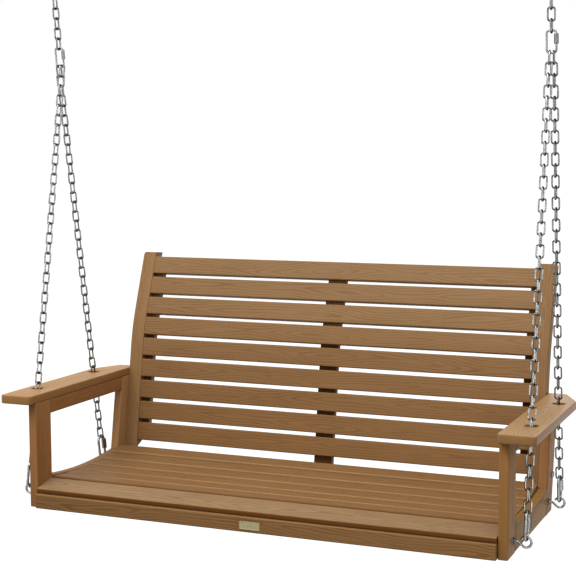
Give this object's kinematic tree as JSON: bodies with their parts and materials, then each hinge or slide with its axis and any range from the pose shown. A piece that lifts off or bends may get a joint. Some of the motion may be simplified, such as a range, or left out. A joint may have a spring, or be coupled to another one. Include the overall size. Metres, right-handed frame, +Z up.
{
  "type": "porch swing seat",
  "caption": "Hanging porch swing bench of grained boards with armrests, slatted seat and back, chains through the arms and ceiling hooks.",
  "frame": {"origin": "on the ceiling's underside, midway between the two screw hooks, in the line of their shanks", "axes": "+Z up into the ceiling, +X to the right of the picture (sitter's left), +Y to the back of the seat"},
  "size_m": [1.366, 0.7027, 1.4854],
  "materials": {
    "seat_board": "embossed wood grain, sun-lit brown",
    "back_board": "embossed wood grain, brown",
    "frame_board": "embossed wood grain, darker brown",
    "arm_board": "embossed wood grain, lighter brown top",
    "chain_steel": "bright zinc plate",
    "link_steel": "bright zinc plate, slightly duller",
    "bolt_steel": "zinc plate",
    "hook_steel": "zinc plate"
  },
  "bodies": {
    "hooks": {"ceiling_hook_left": "hook_steel", "ceiling_hook_right": "hook_steel"},
    "seat": {"front_apron": "seat_board", "front_board": "seat_board", "seat_slat_1": "seat_board", "seat_slat_2": "seat_board", "seat_slat_3": "seat_board", "seat_slat_4": "seat_board", "seat_slat_5": "seat_board", "seat_slat_6": "seat_board", "seat_support_left": "seat_board", "seat_support_centre": "seat_board", "seat_support_right": "seat_board", "rear_seat_rail": "back_board", "back_slat_1": "back_board", "back_slat_2": "back_board", "back_slat_3": "back_board", "back_slat_4": "back_board", "back_slat_5": "back_board", "back_slat_6": "back_board", "back_slat_7": "back_board", "back_slat_8": "back_board", "back_slat_9": "back_board", "back_stile_left": "back_board", "back_stile_centre": "back_board", "back_stile_right": "back_board", "front_post_left": "frame_board", "rear_post_left": "frame_board", "upper_rail_left": "frame_board", "lower_rail_left": "frame_board", "armrest_left": "arm_board", "front_post_right": "frame_board", "rear_post_right": "frame_board", "upper_rail_right": "frame_board", "lower_rail_right": "frame_board", "armrest_right": "arm_board", "eye_bolts": "bolt_steel", "eye_bolt_nuts": "bolt_steel", "eye_bolt_washers": "bolt_steel", "stile_bolts": "bolt_steel"},
    "swivel_left": {"swivel_link_left": "chain_steel"},
    "chains_left": {"upper_chain_left": "chain_steel", "upper_quick_link_left": "link_steel", "front_chain_left": "chain_steel", "rear_chain_left": "chain_steel", "front_quick_link_left": "link_steel", "rear_quick_link_left": "link_steel"},
    "upper_sleeve_left": {"upper_sleeve_left": "link_steel"},
    "front_sleeve_left": {"front_sleeve_left": "link_steel"},
    "rear_sleeve_left": {"rear_sleeve_left": "link_steel"},
    "swivel_right": {"swivel_link_right": "chain_steel"},
    "chains_right": {"upper_chain_right": "chain_steel", "upper_quick_link_right": "link_steel", "front_chain_right": "chain_steel", "rear_chain_right": "chain_steel", "front_quick_link_right": "link_steel", "rear_quick_link_right": "link_steel"},
    "upper_sleeve_right": {"upper_sleeve_right": "link_steel"},
    "front_sleeve_right": {"front_sleeve_right": "link_steel"},
    "rear_sleeve_right": {"rear_sleeve_right": "link_steel"}
  },
  "joints": [
    {"name": "swing", "type": "hinge", "parent": "hooks", "child": "swivel_left", "pos_m": [-0.648, 0, -0.06375], "axis": [1, 0, 0], "range_deg": [-25, 25]},
    {"name": "sway", "type": "hinge", "parent": "swivel_left", "child": "chains_left", "pos_m": [-0.648, 0, -0.0865], "axis": [0, 1, 0], "range_deg": [-1, 1]},
    {"name": "seat_level", "type": "hinge", "parent": "chains_left", "child": "seat", "pos_m": [-0.648, -0.13329, -1.3621], "axis": [0, 1, 0], "range_deg": [-1.05, 1.05]},
    {"name": "swing_right", "type": "hinge", "parent": "hooks", "child": "swivel_right", "pos_m": [0.648, 0, -0.06375], "axis": [1, 0, 0], "range_deg": [-25.05, 25.05]},
    {"name": "sway_right", "type": "hinge", "parent": "swivel_right", "child": "chains_right", "pos_m": [0.648, 0, -0.0865], "axis": [0, 1, 0], "range_deg": [-1.05, 1.05]},
    {"name": "upper_sleeve_left_screw", "type": "slide", "parent": "chains_left", "child": "upper_sleeve_left", "axis": [0, 0, -1], "range_m": [0, 0.01]},
    {"name": "front_sleeve_left_screw", "type": "slide", "parent": "chains_left", "child": "front_sleeve_left", "axis": [-0.0046, -0.2884, -0.9575], "range_m": [0, 0.008]},
    {"name": "rear_sleeve_left_screw", "type": "slide", "parent": "chains_left", "child": "rear_sleeve_left", "axis": [0.0046, 0.0456, -0.9989], "range_m": [0, 0.008]},
    {"name": "upper_sleeve_right_screw", "type": "slide", "parent": "chains_right", "child": "upper_sleeve_right", "axis": [0, 0, -1], "range_m": [0, 0.01]},
    {"name": "front_sleeve_right_screw", "type": "slide", "parent": "chains_right", "child": "front_sleeve_right", "axis": [0.0046, -0.2884, -0.9575], "range_m": [0, 0.008]},
    {"name": "rear_sleeve_right_screw", "type": "slide", "parent": "chains_right", "child": "rear_sleeve_right", "axis": [-0.0046, 0.0456, -0.9989], "range_m": [0, 0.008]}
  ],
  "couplings": [
    {"joint": "seat_level", "follows": "sway", "ratio": -1},
    {"joint": "sway_right", "follows": "sway", "ratio": 1},
    {"joint": "swing_right", "follows": "swing", "ratio": 1}
  ]
}
